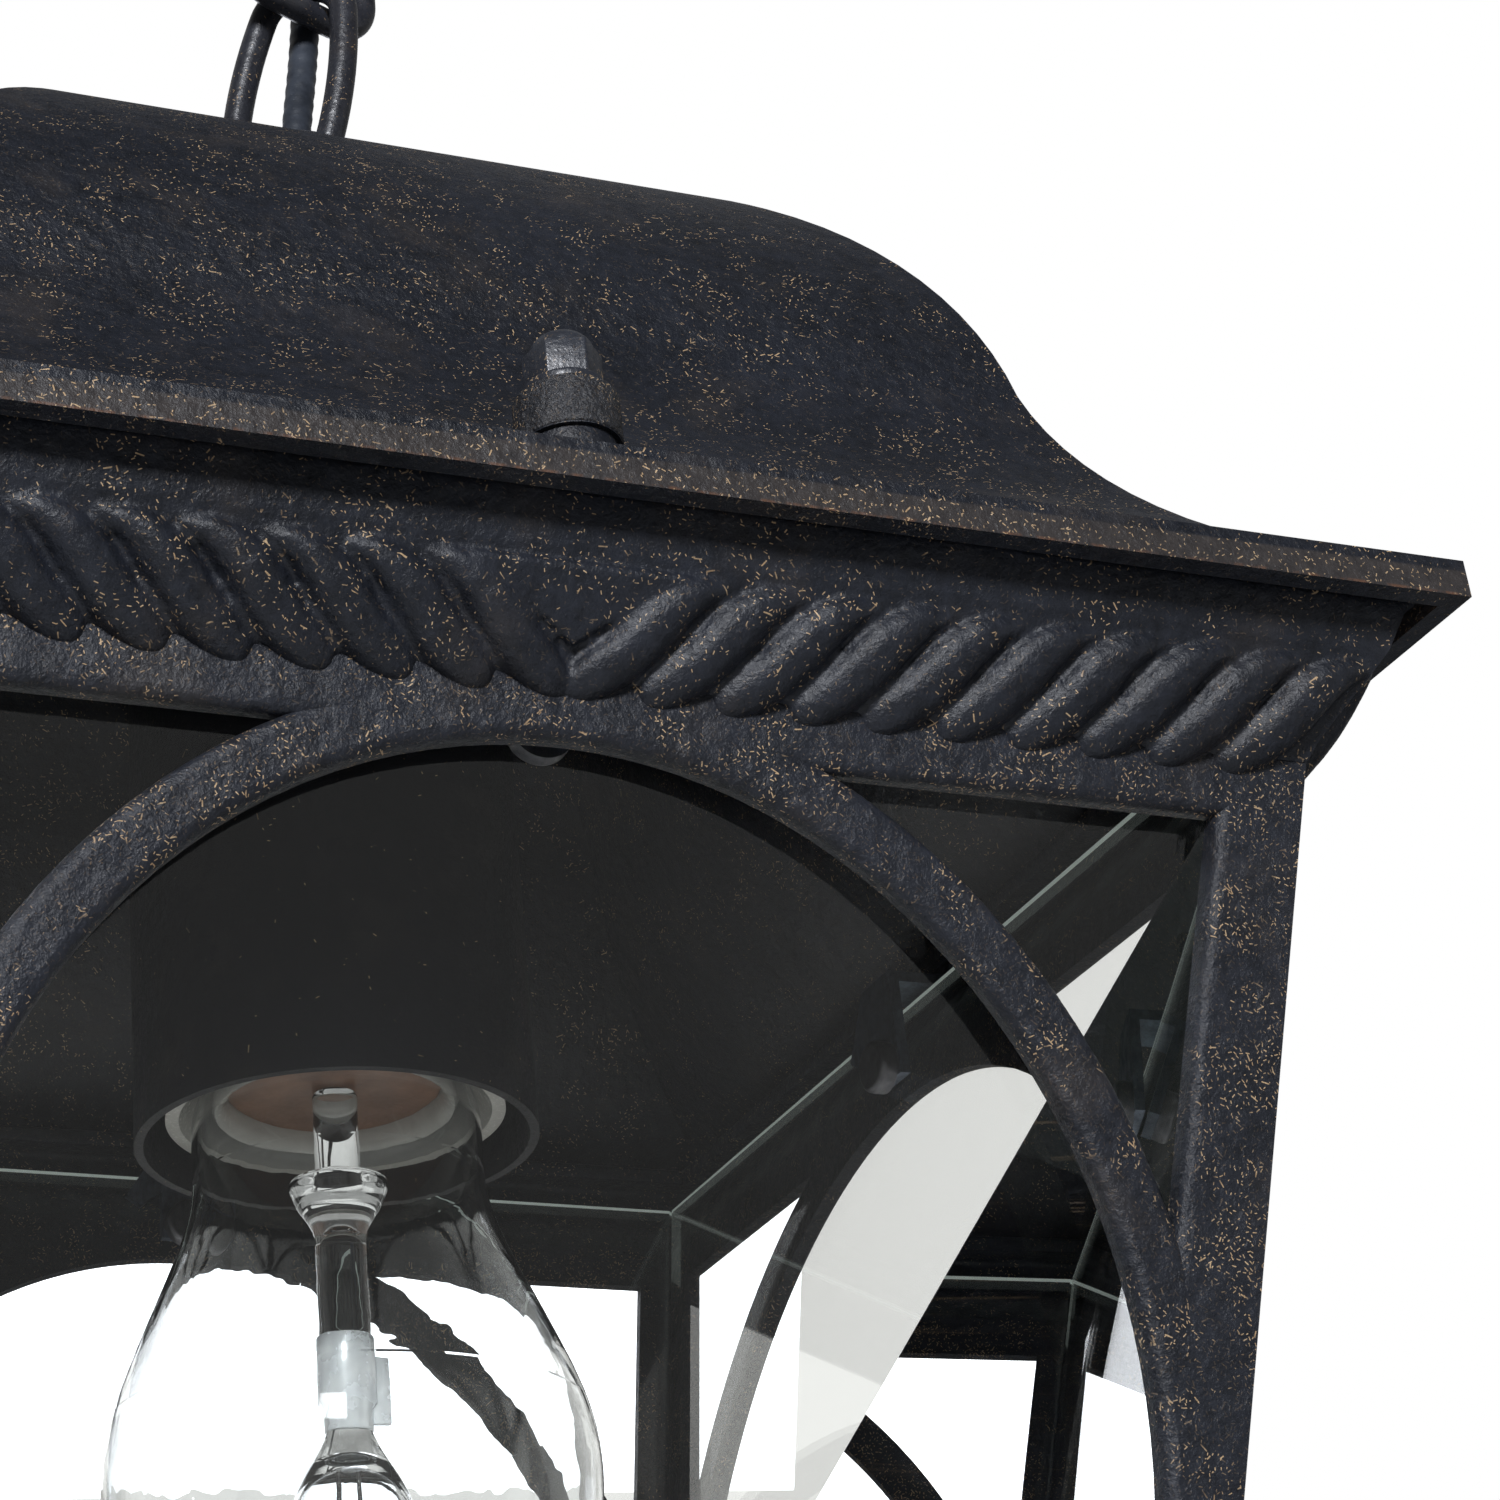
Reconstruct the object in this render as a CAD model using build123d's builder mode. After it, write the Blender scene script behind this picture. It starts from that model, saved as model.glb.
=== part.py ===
from build123d import *
import math
import os

os.makedirs("parts", exist_ok=True)

# A square four-sided lantern that hangs on a chain: millimetres, Z up, the ceiling at z = 0.
# X runs to the right along the front wall and the front faces -Y.

# Driving dimensions: roof
rim_half = 100.6
rim_height = 4.6
rim_lip = 2.5
lip_height = 2.2
roof_wall = 2.4
flare_mid = (79.5, 22.3)
waist = (69.6, 43.5)
belly = (61.4, 68.1)
shoulder = (46.6, 87.9)
crown_half = 13.0
crown_height = 107.4
crown_round = 79.4
nut_reach = 92.5
boss_radius = 5.5
boss_top = 14.8
boss_depth = 6.0
pad_radius = 5.0
neck_foot = 12.5
neck_waist = 9.5
neck_top = 113.5

# Driving dimensions: walls, all heights measured from the lower edge of the roof rim
taper = 0.18
wall_top = -14.55
wall_top_half = 86.44
wall_bottom = -206.0
wall_depth = 2.7
rounding = 1.5
opening_top = -21.3
opening_corner = 75.1
arch_centre = -90.75
arch_half = 63.75
arch_rise = 69.75
arch_band = 6.75
frieze_foot = (87.7, -12.2)
frieze_edge = (94.0, -3.8)
frieze_top = (96.4, 2.0)
frieze_shell = 2.9
flange_depth = 2.5
rail_height = 9.0
rail_proud = 3.0
bottom_opening = 84.0

# Driving dimensions: rope moulding
strands = 10
strand_pitch = 8.5
strand_radius = 2.95
strand_first = (2.9, -13.2)
strand_last = (13.6, -6.2)
strand_bow = 1.3

# Driving dimensions: glass and clips
glass = 3.0
glass_top = -7.2
clip_width = 8.0
clip_sheet = 1.5
clip_top = -3.2
clip_foot = -18.2
clip_screw_height = -16.0
clip_reach = 91.0
clip_step = 86.9
clip_inner = 78.1
clip_finger = ((4, -3.2), (9.5, -11.6), (7.2, -13.2), (2, -9))
screw_radius = 1.5
screw_head = (3.6, 2.4)
stud_radius = 2.0
stud_length = 19.2
washer = (5.2, 1.2)
hexagon = (4.3, 3.9)
dome_radius = 3.7
thread_depth = 6.8

# Driving dimensions: light source
cover_radius = 25.5
cover_wall = 1.2
cover_mouth = -32.6
cover_top = 97.0
bulb_radius = 30.0
bulb_centre = -75.9
bulb_shoulder = 15.0
bulb_throat = (18.3, -38.0)
bulb_collar = (18.3, -31.0)
bulb_mouth = 14.6
bulb_wall = 0.8
base_radius = 13.0
base_bottom = -22.0
base_top = 1.0
base_crimp = 3.0
contact_rise = 1.6
socket_bore = 14.2
socket_radius = 19.0
socket_mouth = -18.5
socket_floor = 8.0
socket_top = 12.0
ring_radius = 21.5
ring_low = -29.0
ring_step = -22.5
cap_radius = 19.5
cap_neck = 8.0
cap_top = 29.0
stem_radius = 2.8
stem_flare = 12.0
stem_low = -63.0
collar_radius = 4.6
collar_drop = 6.0
capsule_radius = 8.0
capsule_top = -69.0
capsule_low = -97.0
capsule_wall = 0.8
filament_radius = 0.9

# Driving dimensions: chain, loops, cord and canopy
link_wire = 2.0
link_width = 24.0
link_height = 40.0
link_corner = 7.0
link_turn = 20.0
chain_gap = 0.15
loop_wire = 2.15
loop_half = 7.95
loop_round = 6.6
loop_belly = 15.0
loop_low = 31.0
loop_turn = -35.0
loop_lean = 10.5
loop_peak = 156.3
hang = Vector(2.0, -2.45, 0)
foot_top = 120.5
foot_radius = 11.5
cord_radius = 2.3
cord_reach = 5.2
swing_gap = 0.8
canopy_radius = 63.5
canopy_height = 26.0
canopy_sheet = 1.2
ring_height = 5.0
canopy_ring_radius = 18.0
barrel_radius = 13.0
barrel_top = -20.0
collar_height = 8.0
hook_wire = 2.5
hook_half = 9.5
hook_drop = 30.0
bar_length = 104.0
bar_width = 20.0
bar_sheet = 2.5
bar_step = 12.0
bar_shelf = 25.0
box_screw_spacing = 76.0
box_screw_slot = (16.0, 4.6)
nut_width = 15.0
pipe_low = 20.0
pipe_top = 118.0
pipe_radius = 4.9
pipe_bore = 3.1
fit = 0.06
clear = 0.3


def along(angle, size):
    """Horizontal vector of a given size, turned from +X."""
    return Vector(size * math.cos(math.radians(angle)), size * math.sin(math.radians(angle)), 0)


# Heights down the chain, from the ceiling to the roof rim
hook_low = -canopy_height - collar_height - hook_drop
link_rise = 2 * link_wire + chain_gap
link_tops = [hook_low + hook_wire + link_wire + chain_gap]
for count in (1, 2):
    link_tops.append(link_tops[-1] - link_height + link_rise)
link_lows = [top - link_height for top in link_tops]
loop_high = link_lows[-1] + link_wire + loop_wire + chain_gap
rim_z = loop_high - loop_peak


def above_rim(height):
    """Height in the whole lamp of a point given from the roof rim."""
    return rim_z + height


# The chain hangs over the loop's highest point
link_angles = [link_turn, link_turn + 90, link_turn]


def at_hang(height):
    """Point on the vertical line of the chain."""
    return Vector(hang.X, hang.Y, height)


def front_plane(depth, height):
    """Plane that lies in a tapered front wall, looking out, with its Y up the wall."""
    return Plane(origin=(0, -depth, above_rim(height)), x_dir=(1, 0, 0), z_dir=(0, -1, -taper))


def wall_half(height):
    """Half width of the lantern, over the walls, at a height from the rim."""
    return wall_top_half + taper * (height - wall_top)


slant = math.sqrt(1 + taper ** 2)
deep = 400.0


def quarter(low, high, gap=0.0):
    """Wedge that holds the front quarter of the lantern, between its mitres and two heights."""
    with BuildPart() as wedge:
        with BuildSketch(Plane.XY.offset(above_rim(low))):
            Polygon((0, -gap), (-deep, -deep - gap), (deep, -deep - gap), align=None)
        extrude(amount=high - low)
    return wedge.part


def four_sided(front, names):
    """Write a front piece and its three copies round the lantern."""
    for turn, name in enumerate(names):
        with BuildPart() as copy:
            add(front.part, rotation=(0, 0, 90 * turn))
        copy.part.label = name
        export_step(copy.part, f"parts/{name}.step")


def four_in_one(front, name):
    """Write a small piece and its three copies as one group."""
    with BuildPart() as group:
        with PolarLocations(0, 4):
            add(front.part)
    group.part.label = name
    export_step(group.part, f"parts/{name}.step")


def finish(piece, name):
    """Label a piece and write it."""
    piece.part.label = name
    export_step(piece.part, f"parts/{name}.step")


# Roof: two crossed prisms of one profile make the square curved shell
def inset(point, facing):
    """Point of the roof's profile moved in by its wall, against the way that it faces."""
    turn = math.radians(facing)
    return point[0] - roof_wall * math.cos(turn), point[1] - roof_wall * math.sin(turn)


def roof_outline():
    with BuildLine() as outline:
        rim = Polyline((0, 0), (rim_half, 0), (rim_half, rim_height))
        flare = ThreePointArc(rim @ 1, flare_mid, waist)
        dome = ThreePointArc(flare @ 1, belly, shoulder)
        crown = RadiusArc(dome @ 1, (crown_half, crown_height), -crown_round)
        Polyline(crown @ 1, (0, crown_height), (0, 0))
    make_face(outline.edges())
    mirror(about=Plane.YZ)


def inner_outline():
    inner_rim = rim_half - rim_lip
    ceiling = crown_height - roof_wall
    with BuildLine() as outline:
        flare = ThreePointArc((inner_rim, lip_height), inset(flare_mid, 34), inset(waist, 8))
        dome = ThreePointArc(flare @ 1, inset(belly, 29), inset(shoulder, 50))
        crown = RadiusArc(dome @ 1, (crown_half, ceiling), roof_wall - crown_round)
        Polyline(crown @ 1, (0, ceiling), (0, -1), (inner_rim, -1), (inner_rim, lip_height))
    make_face(outline.edges())
    mirror(about=Plane.YZ)


roof_plane = Plane(origin=(0, 0, rim_z), x_dir=(1, 0, 0), z_dir=(0, -1, 0))
roof_side = Plane(origin=(0, 0, rim_z), x_dir=(0, 1, 0), z_dir=(1, 0, 0))
past_rim = rim_half + 10
upright = Axis((0, 0, 0), (0, 0, 1))

with BuildPart() as roof_hollow:
    with BuildSketch(roof_plane):
        inner_outline()
    extrude(amount=past_rim, both=True)
    with BuildSketch(roof_side):
        inner_outline()
    extrude(amount=past_rim, both=True, mode=Mode.INTERSECT)

with BuildPart() as roof:
    with BuildSketch(roof_plane):
        roof_outline()
    extrude(amount=past_rim, both=True)
    with BuildSketch(roof_side):
        roof_outline()
    extrude(amount=past_rim, both=True, mode=Mode.INTERSECT)
    add(roof_hollow.part, mode=Mode.SUBTRACT)
    with BuildSketch(Plane.XY.offset(above_rim(boss_top))):
        with PolarLocations(nut_reach, 4):
            Circle(boss_radius)
    extrude(amount=-boss_depth)
    with BuildSketch(Plane.XY.offset(above_rim(frieze_top[1]))):
        with PolarLocations(nut_reach, 4):
            Circle(pad_radius)
    extrude(amount=boss_top - boss_depth - frieze_top[1])
    with BuildSketch(Plane.XY.offset(above_rim(frieze_top[1] - 1))):
        with PolarLocations(nut_reach, 4):
            Circle(stud_radius + clear)
    extrude(amount=boss_top - frieze_top[1] + 3, mode=Mode.SUBTRACT)
    with BuildSketch(Plane.XY.offset(above_rim(crown_height + 1))):
        Circle(pipe_radius + fit)
    extrude(amount=-roof_wall - 3, mode=Mode.SUBTRACT)
finish(roof, "roof")

# Frieze: a flared hollow band under the rim, with rope strands laid in mirrored slants
band_rise = frieze_edge[1] - frieze_foot[1]
band_slope = (frieze_edge[0] - frieze_foot[0]) / band_rise
band_depth = frieze_foot[0] + band_slope * (strand_first[1] - frieze_foot[1])
strand_sink = 0.6
band_plane = Plane(
    origin=(strand_first[0], -band_depth, above_rim(strand_first[1])),
    x_dir=(1, 0, 0),
    z_dir=(0, -1, -band_slope),
).offset(-strand_sink)
strand_run = strand_last[0] - strand_first[0]
strand_climb = (strand_last[1] - strand_first[1]) * math.sqrt(1 + band_slope ** 2)
half_way = (strand_run / 2 - strand_bow * 0.63, strand_climb / 2 + strand_bow * 0.77)

with BuildPart() as strand:
    with BuildLine(band_plane):
        lay = ThreePointArc((0, 0), half_way, (strand_run, strand_climb))
    with BuildSketch(Plane(origin=lay @ 0, z_dir=lay % 0)):
        Circle(strand_radius)
    sweep()
    with Locations(lay @ 0, lay @ 1):
        Sphere(strand_radius)

flange_inner = 86.4
shell_inner = 91.6
with BuildPart() as frieze:
    with BuildSketch(roof_side):
        with BuildLine():
            Polyline(
                (-wall_top_half, wall_top),
                (-frieze_foot[0], frieze_foot[1]),
                (-frieze_edge[0], frieze_edge[1]),
                (-frieze_top[0], frieze_top[1]),
                (-flange_inner, frieze_top[1]),
                (-flange_inner, wall_top),
                close=True,
            )
        make_face()
    extrude(amount=past_rim, both=True)
    with Locations(*[(count * strand_pitch, 0, 0) for count in range(strands)]):
        add(strand.part)
    mirror(about=Plane.YZ)
    with BuildSketch(roof_side):
        with BuildLine():
            Polyline(
                (-wall_half(-40), -40),
                (-wall_top_half, wall_top),
                (-wall_top_half + wall_depth * slant, wall_top),
                (-frieze_edge[0] + frieze_shell, frieze_edge[1]),
                (-shell_inner, frieze_top[1] - flange_depth),
                (-flange_inner, frieze_top[1] - flange_depth),
                (-flange_inner, 12),
                (-50, 12),
                (-50, -40),
                close=True,
            )
        make_face()
    extrude(amount=past_rim, both=True, mode=Mode.SUBTRACT)
    add(quarter(-30, 10), mode=Mode.INTERSECT)
four_sided(frieze, ["frieze_front", "frieze_right", "frieze_back", "frieze_left"])


# Walls: a tapered mitred frame with an arch, and an open spandrel in each upper corner
def up_wall(height):
    """Distance up the slanted wall from its lower edge to a height."""
    return (height - wall_bottom) * slant


def post_edge(height):
    """Half width between the inner edges of the two posts."""
    return opening_corner + taper * (height - opening_top)


arch_low = arch_half + taper * (wall_bottom - arch_centre)
wall_plane = front_plane(wall_half(wall_bottom), wall_bottom)
wall_length = up_wall(wall_top)

with BuildPart() as wall:
    with BuildSketch(wall_plane):
        with Locations((0, -2)):
            Rectangle(2 * wall_top_half + 10, wall_length + 4, align=(Align.CENTER, Align.MIN))
    extrude(amount=-wall_depth)
    with BuildSketch(wall_plane):
        with Locations((0, up_wall(opening_top))):
            Rectangle(2 * opening_corner, up_wall(opening_top) - up_wall(arch_centre), align=(Align.CENTER, Align.MAX))
        with BuildLine():
            Polyline(
                (opening_corner + 1, up_wall(opening_top) + 1),
                (post_edge(opening_top), up_wall(opening_top)),
                (post_edge(arch_centre), up_wall(arch_centre)),
                (opening_corner + 1, up_wall(arch_centre) - 1),
                close=True,
            )
        make_face(mode=Mode.SUBTRACT)
        with BuildLine():
            Polyline(
                (-opening_corner - 1, up_wall(opening_top) + 1),
                (-post_edge(opening_top), up_wall(opening_top)),
                (-post_edge(arch_centre), up_wall(arch_centre)),
                (-opening_corner - 1, up_wall(arch_centre) - 1),
                close=True,
            )
        make_face(mode=Mode.SUBTRACT)
        with Locations((0, up_wall(arch_centre))):
            Ellipse(arch_half + arch_band, (arch_rise + arch_band) * slant, mode=Mode.SUBTRACT)
    extrude(amount=-wall_depth, mode=Mode.SUBTRACT)
    with BuildSketch(wall_plane):
        with Locations((0, up_wall(arch_centre))):
            Ellipse(arch_half, arch_rise * slant)
        with BuildLine():
            Polyline(
                (-arch_low, 0),
                (arch_low, 0),
                (arch_half, up_wall(arch_centre)),
                (-arch_half, up_wall(arch_centre)),
                close=True,
            )
        make_face()
        Rectangle(deep, deep, align=(Align.CENTER, Align.MAX), mode=Mode.SUBTRACT)
        Rectangle(2 * arch_low, 8)
    extrude(amount=-wall_depth, mode=Mode.SUBTRACT)
    add(quarter(wall_bottom, wall_top), mode=Mode.INTERSECT)
    outside = wall.faces().filter_by(lambda face: (face.normal_at() - wall_plane.z_dir).length < 0.01)
    open_edges = outside.edges().filter_by(
        lambda edge: edge.center().Z < above_rim(opening_top + 3)
        and edge.center().Z > above_rim(wall_bottom + 3)
        and abs(abs(edge.center().X) - wall_half(edge.center().Z - rim_z)) > 3
    )
    fillet(open_edges, radius=rounding)
four_sided(wall, ["wall_front", "wall_right", "wall_back", "wall_left"])

# Bottom rail: a square ring that the walls stand on, with a ledge under the glass
rail_top_half = wall_half(wall_bottom)
with BuildPart() as bottom_rail:
    with BuildSketch(Plane.XY.offset(above_rim(wall_bottom))):
        Rectangle(2 * rail_top_half + 2 * rail_proud, 2 * rail_top_half + 2 * rail_proud)
    extrude(amount=-rail_height)
    fillet(bottom_rail.faces().filter_by(Axis.Z).edges(), radius=1.6)
    with BuildSketch(Plane.XY.offset(above_rim(wall_bottom))):
        Rectangle(bottom_opening, bottom_opening)
    extrude(amount=-rail_height, mode=Mode.SUBTRACT)
finish(bottom_rail, "bottom_rail")

# Glass: four tapered panes that stand on the rail's ledge behind the walls
pane_gap = 0.3
pane_outer_top = wall_half(glass_top) - wall_depth * slant - 0.1
pane_outer_low = wall_half(wall_bottom) - wall_depth * slant - 0.1
pane_plane = front_plane(pane_outer_low, wall_bottom)
with BuildPart() as pane:
    with BuildSketch(pane_plane):
        with BuildLine():
            Polyline(
                (-pane_outer_low - 4, -4),
                (pane_outer_low + 4, -4),
                (pane_outer_top + 4, up_wall(glass_top) + 4),
                (-pane_outer_top - 4, up_wall(glass_top) + 4),
                close=True,
            )
        make_face()
    extrude(amount=-glass)
    add(quarter(wall_bottom, glass_top, pane_gap), mode=Mode.INTERSECT)
four_sided(pane, ["pane_front", "pane_right", "pane_back", "pane_left"])

# Clips: bent sheet over the top of each pane, under the flange of the frieze
flange_low = frieze_top[1] - flange_depth
with BuildPart() as clip:
    with BuildSketch(roof_side):
        with BuildLine():
            Polyline(
                (-clip_reach, flange_low - clip_sheet),
                (-clip_reach, flange_low),
                (-clip_step - 1, flange_low),
                (-clip_step, clip_top),
                (-clip_inner, clip_top),
                (-clip_inner, clip_foot),
                (-clip_inner - clip_sheet, clip_foot),
                (-clip_inner - clip_sheet, clip_top - clip_sheet),
                (-clip_step - 0.6, clip_top - clip_sheet),
                (-clip_step - 1.6, flange_low - clip_sheet),
                close=True,
            )
        make_face()
    extrude(amount=clip_width / 2, both=True)
    with BuildSketch(Plane(origin=(0, -clip_inner, rim_z), x_dir=(1, 0, 0), z_dir=(0, -1, 0))):
        with BuildLine():
            Polyline(*clip_finger, close=True)
        make_face()
    extrude(amount=clip_sheet)
    with BuildSketch(Plane.XZ.offset(clip_inner)):
        with Locations((0, above_rim(clip_screw_height))):
            Circle(screw_radius)
    extrude(amount=clip_sheet, mode=Mode.SUBTRACT)
four_in_one(clip, "pane_clips")

pane_face = wall_half(clip_screw_height) - (wall_depth + glass) * slant - 0.1
with BuildPart() as clip_screw:
    with BuildSketch(Plane.XZ.offset(clip_inner)):
        with Locations((0, above_rim(clip_screw_height))):
            Circle(screw_head[0])
    extrude(amount=-screw_head[1])
    fillet(clip_screw.faces().sort_by(Axis.Y)[-1].edges(), radius=0.8)
    with BuildSketch(Plane.XZ.offset(clip_inner)):
        with Locations((0, above_rim(clip_screw_height))):
            Circle(screw_radius)
    extrude(amount=pane_face - clip_inner - 0.7)
four_in_one(clip_screw, "clip_screws")

with BuildPart() as stud:
    with BuildSketch(Plane.XY.offset(above_rim(frieze_top[1]))):
        with Locations((0, -nut_reach)):
            Circle(stud_radius)
    extrude(amount=stud_length)
four_in_one(stud, "roof_studs")

with BuildPart() as cap_nut:
    with BuildSketch(Plane.XY.offset(above_rim(boss_top))):
        with Locations((0, -nut_reach)):
            Circle(washer[0])
    extrude(amount=washer[1])
    with BuildSketch(Plane.XY.offset(above_rim(boss_top + washer[1]))):
        with Locations((0, -nut_reach)):
            RegularPolygon(hexagon[0], 6)
    extrude(amount=hexagon[1])
    with Locations((0, -nut_reach, above_rim(boss_top + washer[1] + hexagon[1]))):
        Sphere(dome_radius)
    with BuildSketch(Plane.XY.offset(above_rim(boss_top))):
        with Locations((0, -nut_reach)):
            Circle(stud_radius + fit)
    extrude(amount=thread_depth, mode=Mode.SUBTRACT)
four_in_one(cap_nut, "cap_nuts")

# Socket cover: a plain tube that hangs under the crown and hides the lamp holder
cover_roof = 1.6
with BuildPart() as socket_cover:
    with BuildSketch(Plane.XY.offset(above_rim(cover_mouth))):
        Circle(cover_radius)
    extrude(amount=cover_top - cover_mouth)
    with BuildSketch(Plane.XY.offset(above_rim(cover_mouth))):
        Circle(cover_radius - cover_wall)
    extrude(amount=cover_top - cover_mouth - cover_roof, mode=Mode.SUBTRACT)
    with BuildSketch(Plane.XY.offset(above_rim(cover_top))):
        Circle(pipe_radius + fit)
    extrude(amount=-2, mode=Mode.SUBTRACT)
finish(socket_cover, "socket_cover")


def sleeve(height_low, height_high, outer, bore):
    """Round sleeve on the lamp's axis, between two heights from the rim."""
    with BuildPart() as tube:
        with BuildSketch(Plane.XY.offset(above_rim(height_low))):
            Circle(outer)
            Circle(bore, mode=Mode.SUBTRACT)
        extrude(amount=height_high - height_low)
    return tube


def hex_nut(foot, height):
    """Hexagon nut on the threaded pipe, standing on a point."""
    with BuildPart() as nut:
        with BuildSketch(Plane(origin=foot)):
            RegularPolygon(nut_width / 2, 6, major_radius=False)
            Circle(pipe_radius + fit, mode=Mode.SUBTRACT)
        extrude(amount=height)
    return nut


nut_height = 5.0
finish(sleeve(cover_top, crown_height - roof_wall, cap_neck, pipe_radius + fit), "cover_spacer")
finish(hex_nut((0, 0, above_rim(cover_top - cover_roof - nut_height)), nut_height), "cover_lock_nut")
finish(sleeve(pipe_low, pipe_top, pipe_radius, pipe_bore), "supply_pipe")

# Neck: a turned collar between the crown and the loop
with BuildPart() as roof_neck:
    with BuildSketch(roof_side):
        with BuildLine():
            Polyline(
                (pipe_radius + fit, crown_height),
                (neck_foot, crown_height),
                (neck_foot, crown_height + 1.8),
                (neck_waist, crown_height + 4),
                (neck_waist, neck_top),
                (pipe_radius + fit, neck_top),
                close=True,
            )
        make_face()
    revolve(axis=upright)
finish(roof_neck, "roof_neck")


# Roof loop: a leaning bow on a round foot, bored for the cord
def bow_path(plane, half, length):
    """U-shaped path whose round end is a half circle."""
    with BuildLine(plane) as path:
        left = Line((-half, 0), (-half, length))
        turn = ThreePointArc(left @ 1, (0, length + half), (half, length))
        Line(turn @ 1, (half, 0))
    return path


def loop_path(plane):
    """Narrow bow whose sides are wide arcs that swell and run into a small round top."""
    side = (loop_half ** 2 + loop_belly ** 2 - loop_round ** 2) / (2 * (loop_half - loop_round))
    middle = side - loop_half
    share = loop_round / (side - loop_round)
    shoulder_x, shoulder_y = middle * share, loop_belly * share
    low_x = math.sqrt(side ** 2 - (loop_low - loop_belly) ** 2) - middle
    with BuildLine(plane) as path:
        left = ThreePointArc((-low_x, -loop_low), (-loop_half, -loop_belly), (-shoulder_x, shoulder_y))
        top = ThreePointArc(left @ 1, (0, loop_round), (shoulder_x, shoulder_y))
        ThreePointArc(top @ 1, (loop_half, -loop_belly), (low_x, -loop_low))
    return path


lean_sine = math.sin(math.radians(loop_lean))
lean_cosine = math.cos(math.radians(loop_lean))
loop_side = along(loop_turn, 1)
loop_bow = loop_path(
    Plane(
        origin=at_hang(above_rim(loop_peak - loop_round)),
        x_dir=loop_side * lean_cosine - Vector(0, 0, lean_sine),
        z_dir=(loop_side.Y, -loop_side.X, 0),
    )
)
with BuildPart() as roof_loop:
    add(loop_bow.line)
    with BuildSketch(Plane(origin=loop_bow.line @ 0, z_dir=loop_bow.line % 0)):
        Circle(loop_wire)
    sweep(path=loop_bow.line)
    with BuildSketch(Plane.XY.offset(above_rim(neck_top))):
        Circle(foot_radius)
    extrude(amount=foot_top - neck_top)
    fillet(roof_loop.edges().filter_by(GeomType.CIRCLE).group_by(Axis.Z)[0], radius=1.0)
    with BuildSketch(Plane.XY.offset(above_rim(neck_top))):
        Circle(pipe_radius + fit)
    extrude(amount=pipe_top - neck_top, mode=Mode.SUBTRACT)
    with BuildSketch(Plane.XY.offset(above_rim(neck_top))):
        Circle(pipe_bore)
    extrude(amount=2 * (foot_top - neck_top), mode=Mode.SUBTRACT)
finish(roof_loop, "roof_loop")

# Lamp holder: cap, insulator, screw shell, contact and the white ring at its mouth
with BuildPart() as socket_cap:
    with BuildSketch(roof_side):
        with BuildLine():
            Polyline(
                (0, socket_top),
                (cap_radius, socket_top),
                (cap_radius, socket_top + 4),
                (cap_radius - 4.5, socket_top + 9),
                (cap_neck, socket_top + 12),
                (cap_neck, cap_top),
                (pipe_radius + fit, cap_top),
                (pipe_radius + fit, pipe_low),
                (0, pipe_low),
                close=True,
            )
        make_face()
    revolve(axis=upright)
finish(socket_cap, "socket_cap")

with BuildPart() as socket_body:
    with BuildSketch(Plane.XY.offset(above_rim(socket_mouth))):
        Circle(socket_radius)
    extrude(amount=socket_top - socket_mouth)
    with BuildSketch(Plane.XY.offset(above_rim(socket_mouth))):
        Circle(socket_bore)
    extrude(amount=socket_floor - socket_mouth, mode=Mode.SUBTRACT)
finish(socket_body, "socket_body")

with BuildPart() as socket_ring:
    with BuildSketch(roof_side):
        with BuildLine():
            Polyline(
                (base_radius + 3, socket_mouth),
                (ring_radius, socket_mouth),
                (ring_radius, ring_low),
                (ring_radius - 1.7, ring_low),
                (base_radius + 3, ring_step),
                close=True,
            )
        make_face()
    revolve(axis=upright)
finish(socket_ring, "socket_ring")
tip = base_top + 2 * contact_rise + 0.4
finish(sleeve(socket_mouth, socket_floor - 2, socket_bore, base_radius + clear), "screw_shell")
finish(sleeve(tip, socket_floor, 4.0, 1.0), "centre_contact")


# Bulb: a hollow pear-shaped envelope with a glass stem and a small capsule
def bulb_outline(wall):
    """Half profile of the envelope, drawn smaller by a wall."""
    mouth = bulb_mouth - wall
    throat = (bulb_throat[0] - wall, bulb_throat[1])
    collar = (bulb_collar[0] - wall, bulb_collar[1])
    with BuildLine() as outline:
        ball = CenterArc((0, bulb_centre), bulb_radius - wall, -90, 90 + bulb_shoulder)
        slope = ball @ 1 + 10 * (ball % 1)
        narrow = Bezier(ball @ 1, slope, (throat[0], throat[1] - 8.5), throat)
        straight = Line(narrow @ 1, collar)
        top = Bezier(straight @ 1, (collar[0], collar[1] + 4), (mouth + 1.4, base_bottom - 2.5), (mouth, base_bottom))
        Polyline(top @ 1, (0, base_bottom), ball @ 0)
    make_face(outline.edges())


with BuildPart() as bulb_envelope:
    with BuildSketch(roof_side):
        bulb_outline(0)
    revolve(axis=upright)
    with BuildSketch(roof_side):
        bulb_outline(bulb_wall)
    revolve(axis=upright, mode=Mode.SUBTRACT)
finish(bulb_envelope, "bulb_glass")

with BuildPart() as bulb_base:
    with BuildSketch(roof_side):
        with BuildLine():
            Polyline(
                (0, base_bottom),
                (bulb_mouth + 0.3, base_bottom),
                (base_radius, base_bottom + base_crimp),
                (base_radius, base_top),
                (6, base_top + contact_rise),
                (0, base_top + contact_rise),
                close=True,
            )
        make_face()
    revolve(axis=upright)
finish(bulb_base, "bulb_base")
finish(sleeve(base_top + contact_rise, tip, 4.2, 0.6), "bulb_contact")

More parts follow.
